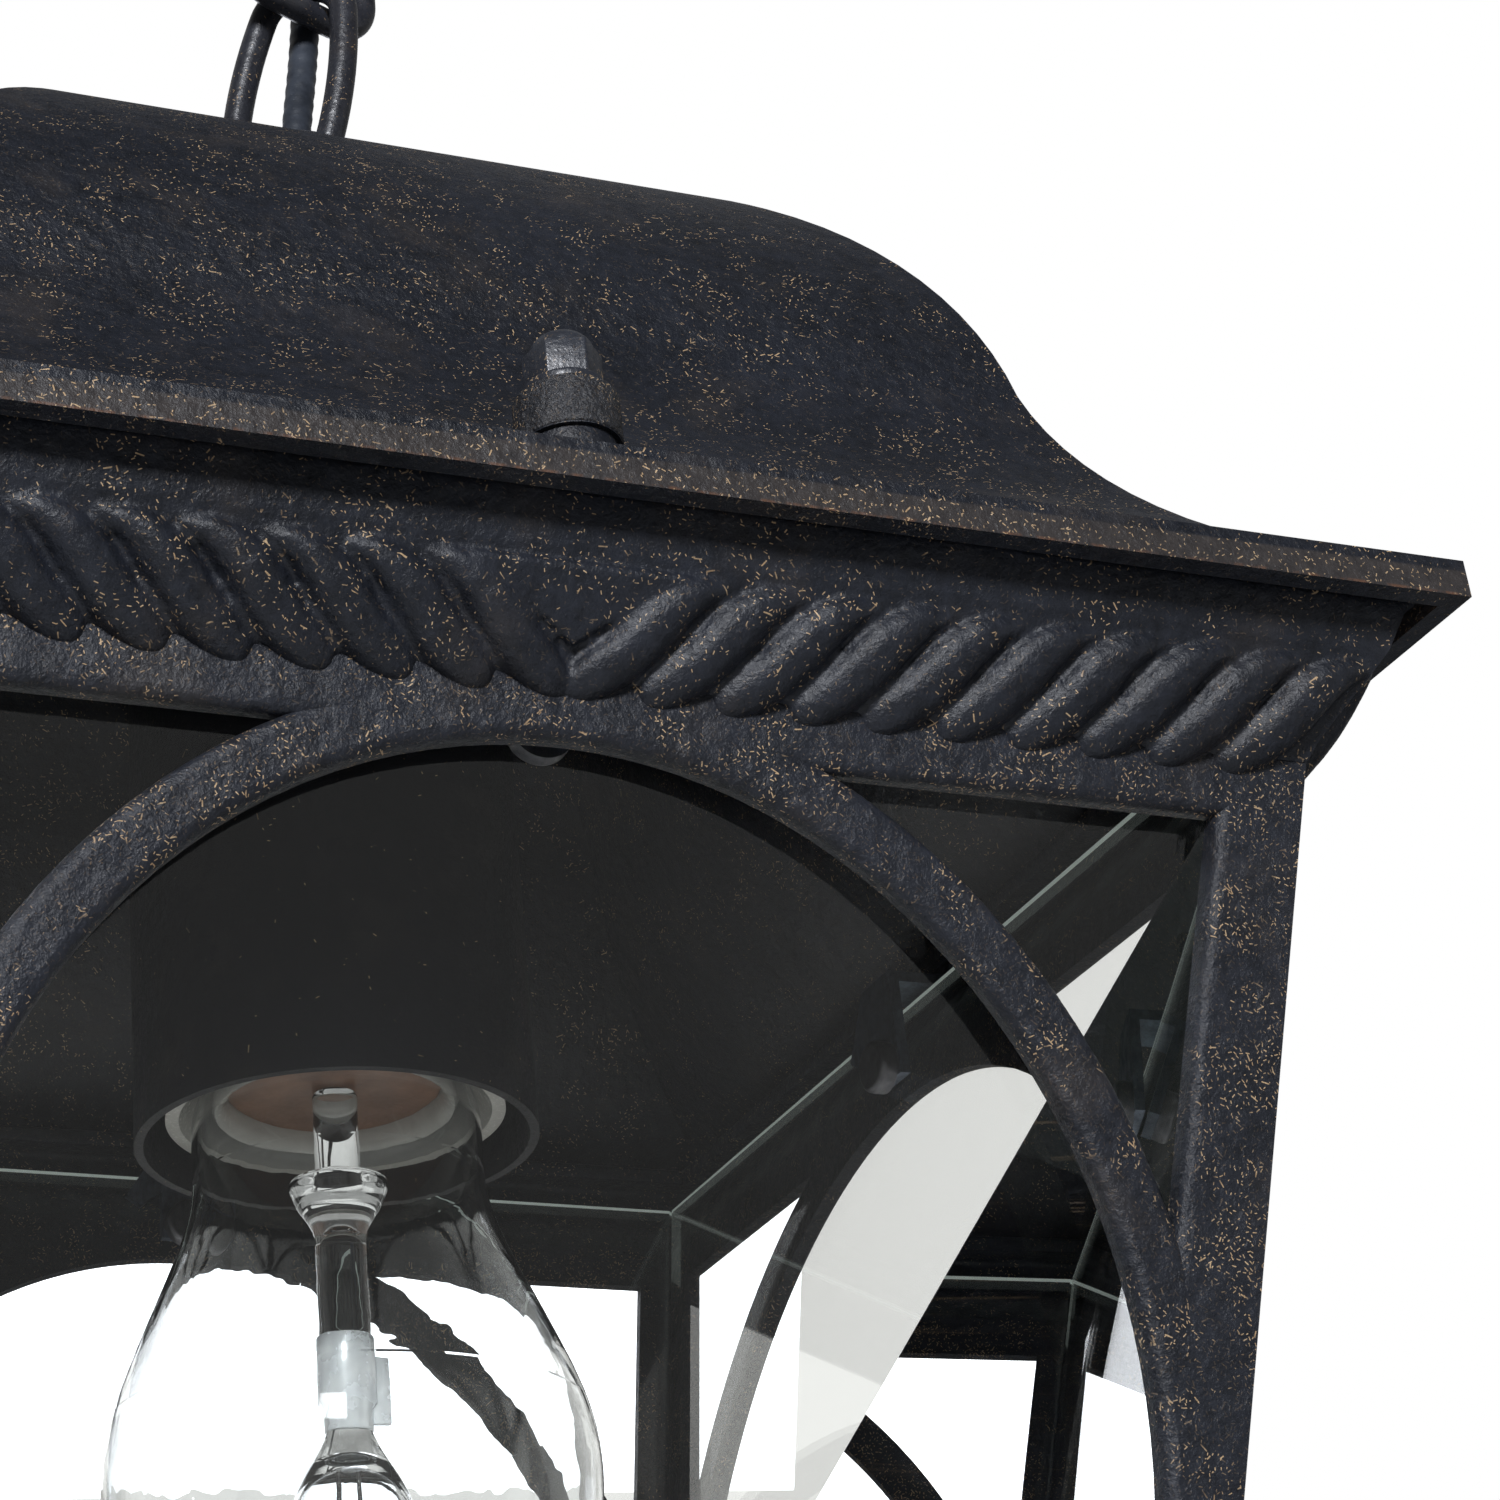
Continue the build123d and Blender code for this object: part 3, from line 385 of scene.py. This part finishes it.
# The clips' steel is painted darker than bare steel: painted shade, for clips that stand in shadow.
clip_steel_painted_shade = metal("clip_steel_painted_shade", (0.20, 0.24, 0.31), (0.05, 0.06, 0.08), 0.42)
# The clamp is bright steel. Its near-white colour at half metal adds a painted reflection, standing in for the bright
# room that steel would mirror.
clamp_steel_painted_reflection = metal("clamp_steel_painted_reflection", (0.92, 0.94, 0.96), (0.66, 0.68, 0.72), 0.22, metallic=0.45)
dress(clip_steel_painted_shade, "pane_clips")
dress(clamp_steel_painted_reflection, "capsule_collar")
dress(metal("dark_steel", (0.16, 0.16, 0.17), (0.05, 0.05, 0.06), 0.42), "clip_screws", "roof_studs",
      "cover_lock_nut", "bar_lock_nut", "cover_spacer", "supply_pipe", "ceiling_bar")
brown = moulded("brown_plastic", (0.46, 0.23, 0.13), (0.20, 0.09, 0.05), 0.35)
dress(brown, "socket_cap", "socket_body")
ceramic = moulded("white_ceramic", (0.86, 0.84, 0.78), (0.70, 0.68, 0.62), 0.25)
dress(ceramic, "socket_ring")
dress(metal("shell_brass", (0.75, 0.55, 0.25), (0.45, 0.31, 0.13), 0.30), "screw_shell", "centre_contact")
dress(metal("nickel_base", (0.72, 0.70, 0.66), (0.42, 0.40, 0.37), 0.28), "bulb_base", "bulb_contact")
coil_wire = filament_wire()
dress(coil_wire, "filament")
jacket = cord_jacket()


# ---------------------------------------------------------------- cord

def piece(name, mesh, material, body=None):
    """Link a finished mesh as a piece that rides on a body."""
    data = bpy.data.meshes.new(name)
    mesh.to_mesh(data)
    mesh.free()
    data.materials.append(material)
    made = bpy.data.objects.new(name, data)
    scene.collection.objects.link(made)
    if body:
        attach(made, body)
    return made


def smooth(made, angle=None):
    """Shade a piece smoothly, with edges over an angle kept sharp."""
    for face in made.data.polygons:
        face.use_smooth = True
    if angle is not None:
        made.data.set_sharp_from_angle(angle=math.radians(angle))
    return made


def follow(name, points):
    """Places along the NURBS line of a cord's route."""
    curve = bpy.data.curves.new(name, "CURVE")
    curve.dimensions = "3D"
    line = curve.splines.new("NURBS")
    line.points.add(len(points) - 1)
    for held, point in zip(line.points, points):
        held.co = (*point, 1)
    line.order_u = 3
    line.use_endpoint_u = True
    line.resolution_u = 40
    holder = bpy.data.objects.new(name, curve)
    scene.collection.objects.link(holder)
    bpy.context.view_layer.update()
    mesh = bpy.data.meshes.new_from_object(holder)
    path = [vertex.co.copy() for vertex in mesh.vertices]
    bpy.data.objects.remove(holder)
    bpy.data.meshes.remove(mesh)
    return path


def walk(path, pace):
    """Even places and directions along a path, a pace apart."""
    total = sum((b - a).length for a, b in zip(path, path[1:]))
    count = max(2, round(total / pace))
    places, reached, at = [], 0.0, 0
    for number in range(count + 1):
        goal = total * number / count
        while at < len(path) - 2 and reached + (path[at + 1] - path[at]).length < goal:
            reached += (path[at + 1] - path[at]).length
            at += 1
        step = path[at + 1] - path[at]
        places.append((path[at] + step * min(1.0, (goal - reached) / step.length), step.normalized()))
    return places, total


def tube(places, radii, sides_round=20, closed=True):
    """A tube of rings of given radii round a path, bridged one to the next."""
    mesh = bmesh.new()
    before = None
    for (place, way), radius in zip(places, radii):
        turn = Vector((0, 0, 1)).rotation_difference(way).to_matrix().to_4x4()
        turn.translation = place
        ring = bmesh.ops.create_circle(mesh, segments=sides_round, radius=radius, matrix=turn)["verts"]
        edges = list({edge for vertex in ring for edge in vertex.link_edges if edge.other_vert(vertex) in ring})
        if before:
            bmesh.ops.bridge_loops(mesh, edges=before + edges)
        elif closed:
            bmesh.ops.contextual_create(mesh, geom=edges)
        before = edges
    if closed:
        bmesh.ops.contextual_create(mesh, geom=before)
    bmesh.ops.recalc_face_normals(mesh, faces=mesh.faces)
    return mesh


cord_radius = 2.3 * mm
corner = Vector((5.107 * mm, 4.215 * mm, 0))
route = [
    Vector((0, 0, -0.20905)),
    Vector((0, 0, -0.20105)),
    corner + Vector((0, 0, -0.16505)),
    corner + Vector((0, 0, -0.1352)),
    corner + Vector((0, 0, -0.09935)),
    corner + Vector((0, 0, -0.064)),
    corner + Vector((0, 0, -0.055)),
    hang + Vector((0, 0, -0.038)),
    hang + Vector((0, 0, -0.012)),
]
hung = follow("cord_route", route)


def cord_between(name, low, high):
    """The part of the cord between two heights, with its moulded ribs."""
    part = [place for place in hung if low - 1e-6 <= place.z <= high + 1e-6]
    for height in (low, high):
        for a, b in zip(hung, hung[1:]):
            if a.z < height < b.z:
                cut = a.lerp(b, (height - a.z) / (b.z - a.z))
                if all((cut - place).length > 1e-5 for place in part):
                    part.append(cut)
    part.sort(key=lambda place: place.z)
    return ribbed_cord(name, part)


def ribbed_cord(name, part):
    """A cord piece along a path, slightly waisted every three millimetres."""
    places, length = walk(part, 0.75 * mm)
    radii = [
        cord_radius * (0.97 + 0.03 * math.cos(2 * math.pi * place.z / (3 * mm)))
        for place, way in places
    ]
    made = smooth(piece(name, tube(places, radii), jacket), 60)
    return made


swing = [-0.17105, -0.1352, -0.09935, -0.064]
pipe_cord = ribbed_cord("cord_in_pipe", [Vector((0, 0, -0.30305)), Vector((0, 0, -0.25)), Vector((0, 0, -0.20905))])
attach(pipe_cord, "lamp_head")
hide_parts("cord_pipe")
for name, low, high, pivot, below, over, stood_for in (
    ("cord_through_loop", -0.20905, -0.1531, swing[0], "lamp_head", "link_3", ("cord_lamp", "cord_link_3")),
    ("cord_by_lower_link", -0.1531, -0.1173, swing[1], "link_3", "link_2", ("cord_link_3", "cord_link_2")),
    ("cord_by_middle_link", -0.1173, -0.0817, swing[2], "link_2", "link_1", ("cord_link_2", "cord_link_1")),
    ("cord_into_canopy", -0.0817, -0.012, swing[3], "link_1", "ceiling_mount", ("cord_link_1", "cord_ceiling")),
):
    made = cord_between(name, low, high)
    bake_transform(made)
    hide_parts(*stood_for)


# ---------------------------------------------------------------- frieze

def skinned(mesh, grain, passes):
    """One skin round all the solids in a mesh, softened a little."""
    data = bpy.data.meshes.new("skin")
    mesh.to_mesh(data)
    mesh.free()
    holder = bpy.data.objects.new("skin", data)
    scene.collection.objects.link(holder)
    remesh = holder.modifiers.new("one_skin", "REMESH")
    remesh.mode = "VOXEL"
    remesh.voxel_size = grain
    soft = holder.modifiers.new("softened", "SMOOTH")
    soft.factor = 0.5
    soft.iterations = passes
    bpy.context.view_layer.update()
    shaped = bpy.data.meshes.new_from_object(holder.evaluated_get(bpy.context.evaluated_depsgraph_get()))
    skin = bmesh.new()
    skin.from_mesh(shaped)
    bpy.data.objects.remove(holder)
    bpy.data.meshes.remove(shaped)
    bpy.data.meshes.remove(data)
    return skin


# One leaf of the ornament, on the sloping face: along, up and half its width, in millimetres.
leaf = ((8.0, -3.1, 0.9), (8.7, -2.75, 1.75), (9.9, -2.0, 2.3), (11.85, -0.4, 2.75), (14.27, 1.70, 2.95),
        (16.15, 3.95, 3.0), (17.78, 5.90, 2.85), (19.75, 7.65, 2.35), (22.0, 8.90, 1.6), (24.6, 9.5, 0.6))
leaf_pace = 8.4
leaf_count = 10
leaf_rise = 0.86
frieze_band = ((86.44, -14.55), (87.7, -12.2), (94.0, -3.8), (96.4, 2.0), (86.4, 2.0), (86.4, -0.5),
               (91.6, -0.5), (91.1, -3.8), (83.7, -14.55))

slope = Matrix(((1, 0, 0), (0, -0.6, -0.8), (0, 0.8, -0.6)))
slope_foot = Vector((0, -86.95 * mm, rim - 13.2 * mm))


def leaf_solid(mesh, shift, mirror):
    """One leaf laid on the sloping face, half sunk in it."""
    stations = [(Vector((along + shift, up, 0)) * mm, half * mm) for along, up, half in leaf]
    ways = [(b[0] - a[0]).normalized() for a, b in zip(stations, stations[1:])]
    ways = [ways[0], *[(a + b).normalized() for a, b in zip(ways, ways[1:])], ways[-1]]
    solid = tube([(place, way) for (place, half), way in zip(stations, ways)], [half for place, half in stations], 16)
    bmesh.ops.scale(solid, verts=solid.verts, vec=(1, 1, leaf_rise))
    bmesh.ops.transform(solid, verts=solid.verts, matrix=Matrix.Translation(slope_foot) @ slope.to_4x4())
    if mirror:
        bmesh.ops.scale(solid, verts=solid.verts, vec=(-1, 1, 1))
        bmesh.ops.recalc_face_normals(solid, faces=solid.faces)
    held = bpy.data.meshes.new("leaf")
    solid.to_mesh(held)
    solid.free()
    mesh.from_mesh(held)
    bpy.data.meshes.remove(held)


def plate_solid(mesh, corners, rise):
    """A flat raised plate on the sloping face between the leaves."""
    sunk = 1.0
    face = mesh.faces.new([mesh.verts.new(slope_foot + slope @ (Vector((u, v, -sunk)) * mm)) for u, v in corners])
    raised = bmesh.ops.extrude_face_region(mesh, geom=[face])["geom"]
    bmesh.ops.translate(mesh, verts=[part for part in raised if isinstance(part, bmesh.types.BMVert)],
                        vec=slope @ (Vector((0, 0, sunk + rise)) * mm))


def frieze_side():
    """The front frieze: a rolled band with leaves that lean out from its middle."""
    mesh = bmesh.new()
    past_corner = 104 * mm
    ends = [mesh.verts.new((-past_corner, -reach * mm, rim + height * mm)) for reach, height in frieze_band]
    face = mesh.faces.new(ends)
    long = bmesh.ops.extrude_face_region(mesh, geom=[face])["geom"]
    bmesh.ops.translate(mesh, verts=[part for part in long if isinstance(part, bmesh.types.BMVert)],
                        vec=(2 * past_corner, 0, 0))
    for number in range(leaf_count):
        for mirror in (False, True):
            leaf_solid(mesh, leaf_pace * (number - 1), mirror)
    plate_solid(mesh, ((0, 2.0), (11.5, 10.3), (-11.5, 10.3)), 1.1)
    bmesh.ops.recalc_face_normals(mesh, faces=mesh.faces)
    skin = skinned(mesh, 0.50 * mm, 2)
    for way in (1, -1):
        cut = bmesh.ops.bisect_plane(skin, geom=[*skin.verts, *skin.edges, *skin.faces], dist=1e-6,
                                     plane_co=(0, 0, 0), plane_no=(way, 1, 0), clear_outer=True)["geom_cut"]
        bmesh.ops.holes_fill(skin, edges=[part for part in cut if isinstance(part, bmesh.types.BMEdge)], sides=0)
    return skin


front_frieze = frieze_side()
for number, side in enumerate(sides):
    copy = front_frieze.copy()
    bmesh.ops.rotate(copy, verts=copy.verts, matrix=Matrix.Rotation(number * math.pi / 2, 3, "Z"))
    made = smooth(piece(f"leaf_frieze_{side}", copy, frieze_paint, "cage"), 55)
    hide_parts(f"frieze_{side}")
front_frieze.free()


# ---------------------------------------------------------------- panes

edge_painted_glow = ground_edge_painted_glow()
for side in sides:
    mesh = bmesh.new()
    mesh.from_mesh(nodes[f"pane_{side}"].data)
    bmesh.ops.remove_doubles(mesh, verts=mesh.verts, dist=1e-6)
    for face in mesh.faces:
        # Top faces take the ground edge finish, with its painted glow.
        face.material_index = 1 if face.normal.z > 0.9 else 0
    made = piece(f"glass_pane_{side}", mesh, clear_sheet, "cage")
    made.data.materials.append(edge_painted_glow)
    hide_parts(f"pane_{side}")


# ---------------------------------------------------------------- cap nuts

def stub(mesh, place, foot, top, low, high, corners, round_off, turn=0.0):
    """A short turned or faceted solid, its edges rounded."""
    stand = Matrix.Translation(place + Vector((0, 0, (low + high) / 2))) @ Matrix.Rotation(turn, 4, "Z")
    verts = bmesh.ops.create_cone(mesh, cap_ends=True, segments=corners, radius1=foot, radius2=top,
                                  depth=high - low, matrix=stand)["verts"]
    edges = {edge for vertex in verts for edge in vertex.link_edges if edge.calc_face_angle(0) > 0.5}
    bmesh.ops.bevel(mesh, geom=list(edges), offset=round_off, affect="EDGES", segments=3, profile=0.5, material=-1)


nut_reach = 92.5 * mm
boss_top = rim + 14.8 * mm
boss_tops = [Vector((x * nut_reach, y * nut_reach, boss_top)) for x, y in ((1, 0), (0, 1), (-1, 0), (0, -1))]
nut_turns = (0.15, -0.25, 0.35, 0.257)


def cap_nuts():
    """Four cap nuts on the studs, one to a side: washer, a dark gap, hexagon and dome."""
    mesh = bmesh.new()
    for place, turn in zip(boss_tops, nut_turns):
        stub(mesh, place, 4.5 * mm, 4.6 * mm, 0.25 * mm, 1.6 * mm, 32, 0.4 * mm)
        stub(mesh, place, 3.9 * mm, 3.9 * mm, 0, 0.6 * mm, 32, 0.1 * mm)
        stub(mesh, place, 4.3 * mm, 4.3 * mm, 1.3 * mm, 6.0 * mm, 6, 0.25 * mm, turn)
        dome = Matrix.Translation(place + Vector((0, 0, 5.8 * mm))) @ Matrix.Diagonal((1, 1, 0.76, 1))
        bmesh.ops.create_uvsphere(mesh, u_segments=32, v_segments=20, radius=3.6 * mm, matrix=dome)
    made = smooth(piece("domed_cap_nuts", mesh, nut_paint, "roof_nuts"), 38)
    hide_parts("cap_nuts")


def rough_bosses():
    """The rough cast bosses that the cap nuts stand on, a skin over the roof's own."""
    mesh = bmesh.new()
    for place in boss_tops:
        stub(mesh, place, 5.65 * mm, 5.6 * mm, -5.9 * mm, 0.05 * mm, 40, 0.3 * mm)
    smooth(piece("rough_bosses", mesh, boss_paint, "lamp_head"), 50)


cap_nuts()
rough_bosses()


# ---------------------------------------------------------------- inside the bulb

def turned(outline, steps=48, ring=False):
    """An outline of radii and heights in millimetres, spun about the lamp's axis."""
    mesh = bmesh.new()
    corners = [mesh.verts.new((radius * mm, 0, rim + height * mm)) for radius, height in outline]
    pairs = list(zip(corners, corners[1:]))
    if ring:
        pairs.append((corners[-1], corners[0]))
    edges = [mesh.edges.new(pair) for pair in pairs]
    bmesh.ops.spin(mesh, geom=corners + edges, cent=(0, 0, 0), axis=(0, 0, 1), angle=2 * math.pi, steps=steps,
                   use_merge=True)
    bmesh.ops.remove_doubles(mesh, verts=mesh.verts, dist=1e-6)
    bmesh.ops.recalc_face_normals(mesh, faces=mesh.faces)
    return mesh


def glass_stem():
    """The pressed stem: a tube out of the base, a small cup and a thick rod."""
    mesh = turned(((0, -26.0), (2.7, -26.0), (2.9, -26.4), (2.9, -36.9), (3.4, -37.5), (5.4, -37.7), (6.1, -38.1),
                   (6.3, -38.6), (6.1, -39.3), (5.3, -41.2), (4.1, -43.2), (3.45, -44.4), (3.2, -45.6), (3.2, -57.4),
                   (2.9, -58.4), (0, -58.8)))
    made = smooth(piece("pressed_stem", mesh, bulb_clear, "bulb"), 50)
    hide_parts("bulb_stem")


def stem_seat():
    """Brown cement in the base's mouth, with a pale ring standing round it."""
    disc = turned(((0, -24.2), (13.6, -24.2), (13.6, -25.4), (12.9, -25.9), (0, -25.7)))
    smooth(piece("brown_seat", disc, brown, "bulb"), 50)
    ring = turned(((13.7, -24.2), (15.2, -24.2), (15.6, -26.0), (15.6, -28.0), (15.2, -28.4), (14.5, -28.0),
                   (14.0, -26.6)), ring=True)
    smooth(piece("pale_seat_ring", ring, ceramic, "bulb"), 50)


def capsule_clamp():
    """Bright sheet sleeve round the rod and the capsule's neck, folded into a tab on the right."""
    mesh = turned(((3.3, -58.2), (3.5, -58.0), (3.6, -58.3), (3.6, -66.2), (3.0, -67.0), (3.0, -69.6), (2.8, -69.8),
                   (2.7, -69.6), (2.7, -66.8), (3.3, -66.0)), ring=True)
    tab = bmesh.ops.create_cube(mesh, size=1, matrix=Matrix.Translation((4.0 * mm, -0.6 * mm, rim - 64.6 * mm))
                                @ Matrix.Diagonal((2.4 * mm, 0.8 * mm, 8.4 * mm, 1)))["verts"]
    edges = {edge for vertex in tab for edge in vertex.link_edges}
    bmesh.ops.bevel(mesh, geom=list(edges), offset=0.25 * mm, affect="EDGES", segments=2, profile=0.5, material=-1)
    made = smooth(piece("capsule_clamp", mesh, clamp_steel_painted_reflection, "bulb"), 50)
    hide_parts("capsule_collar")


def wound_filament():
    """A fine coil on two straight leads inside the capsule."""
    mesh = bmesh.new()
    turns, steps, low, high = 13, 18, -92.0, -80.0
    start = Matrix.Translation((1.0 * mm, 0, rim + low * mm)) @ Matrix.Rotation(math.pi / 2, 4, "X")
    ring = bmesh.ops.create_circle(mesh, segments=8, radius=0.24 * mm, matrix=start)["verts"]
    edges = list({edge for vertex in ring for edge in vertex.link_edges})
    climb = (0, 0, (high - low) * mm / (turns * steps))
    bmesh.ops.spin(mesh, geom=ring + edges, cent=(0, 0, 0), axis=(0, 0, 1), dvec=climb,
                   angle=2 * math.pi * turns, steps=turns * steps)
    bmesh.ops.holes_fill(mesh, edges=[edge for edge in mesh.edges if edge.is_boundary], sides=0)
    bmesh.ops.recalc_face_normals(mesh, faces=mesh.faces)
    for x, foot in ((1.0, high - 0.5), (-1.6, low)):
        stub(mesh, Vector((x * mm, 0, rim)), 0.3 * mm, 0.3 * mm, foot * mm, -73.6 * mm, 12, 0.05 * mm)
    made = smooth(piece("wound_filament", mesh, coil_wire, "bulb"), 50)
    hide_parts("filament")


glass_stem()
stem_seat()
capsule_clamp()
wound_filament()


# ---------------------------------------------------------------- floor and light

def floor():
    """A plain pale floor well under the lantern."""
    mesh = bmesh.new()
    bmesh.ops.create_grid(mesh, x_segments=1, y_segments=1, size=1.5)
    bmesh.ops.translate(mesh, verts=mesh.verts, vec=(0, 0, -1.60))
    finish = Finish("pale_floor")
    colour = finish.mix(finish.spread(finish.noise(0.4, 3.0), 0.0, 1.0), (0.80, 0.80, 0.79), (0.84, 0.84, 0.83))
    shader = finish.node("ShaderNodeBsdfPrincipled", {}, {"Base Color": colour, "Roughness": 0.8})
    pale = finish.node("ShaderNodeEmission", {}, {"Strength": 1.0})
    through_glass = finish.node("ShaderNodeLightPath", out="Is Transmission Ray")
    mixed = finish.node("ShaderNodeMixShader", {}, {0: through_glass, 1: shader, 2: pale})
    finish.node("ShaderNodeOutputMaterial", {}, {"Surface": mixed})
    piece("studio_floor", mesh, finish.material)


def lamp(name, place, size, power, colour=(1, 1, 1)):
    """A soft square lamp that looks at the lantern."""
    data = bpy.data.lights.new(name, "AREA")
    data.size = size
    data.energy = power
    data.color = colour
    made = bpy.data.objects.new(name, data)
    scene.collection.objects.link(made)
    made.location = place
    made.rotation_euler = (Vector((0, 0, -0.36)) - Vector(place)).to_track_quat("-Z", "Y").to_euler()


def surroundings():
    """White where it is seen, and a soft plain level for lighting, darker behind the camera."""
    world = bpy.data.worlds.new("studio")
    world.use_nodes = True
    scene.world = world
    finish = Finish("studio", world.node_tree)
    rays = finish.node("ShaderNodeLightPath", out="Is Camera Ray")
    first = finish.step(rays.other("Diffuse Depth"), 0.6, 0.4)
    way = finish.node("ShaderNodeTexCoord", out="Generated")
    behind = finish.step(way.part("Y"), -0.2, 0.5) * finish.step(way.part("Z"), -0.30, 0.10)
    seen = (rays + rays.other("Is Transmission Ray")).least(1.0)
    mirrored = rays.other("Is Glossy Ray")
    shown = (seen + mirrored * behind * 0.20).least(1.0) * first
    level = (0.07 + 0.93 * shown) * (1 - 0.6 * mirrored * (1 - behind))
    background = finish.node("ShaderNodeBackground", {}, {"Color": (1, 1, 1), "Strength": level})
    finish.node("ShaderNodeOutputWorld", {}, {"Surface": background})


floor()
lamp("key", (-0.85, -1.95, 0.40), 0.45, 46, (0.98, 1.0, 1.05))
lamp("fill", (1.6, -1.0, -0.3), 1.4, 2.5)
lamp("rim_light", (0.3, 1.6, 0.6), 1.2, 8, (0.92, 0.96, 1.08))
surroundings()
scene.view_settings.view_transform = "Standard"
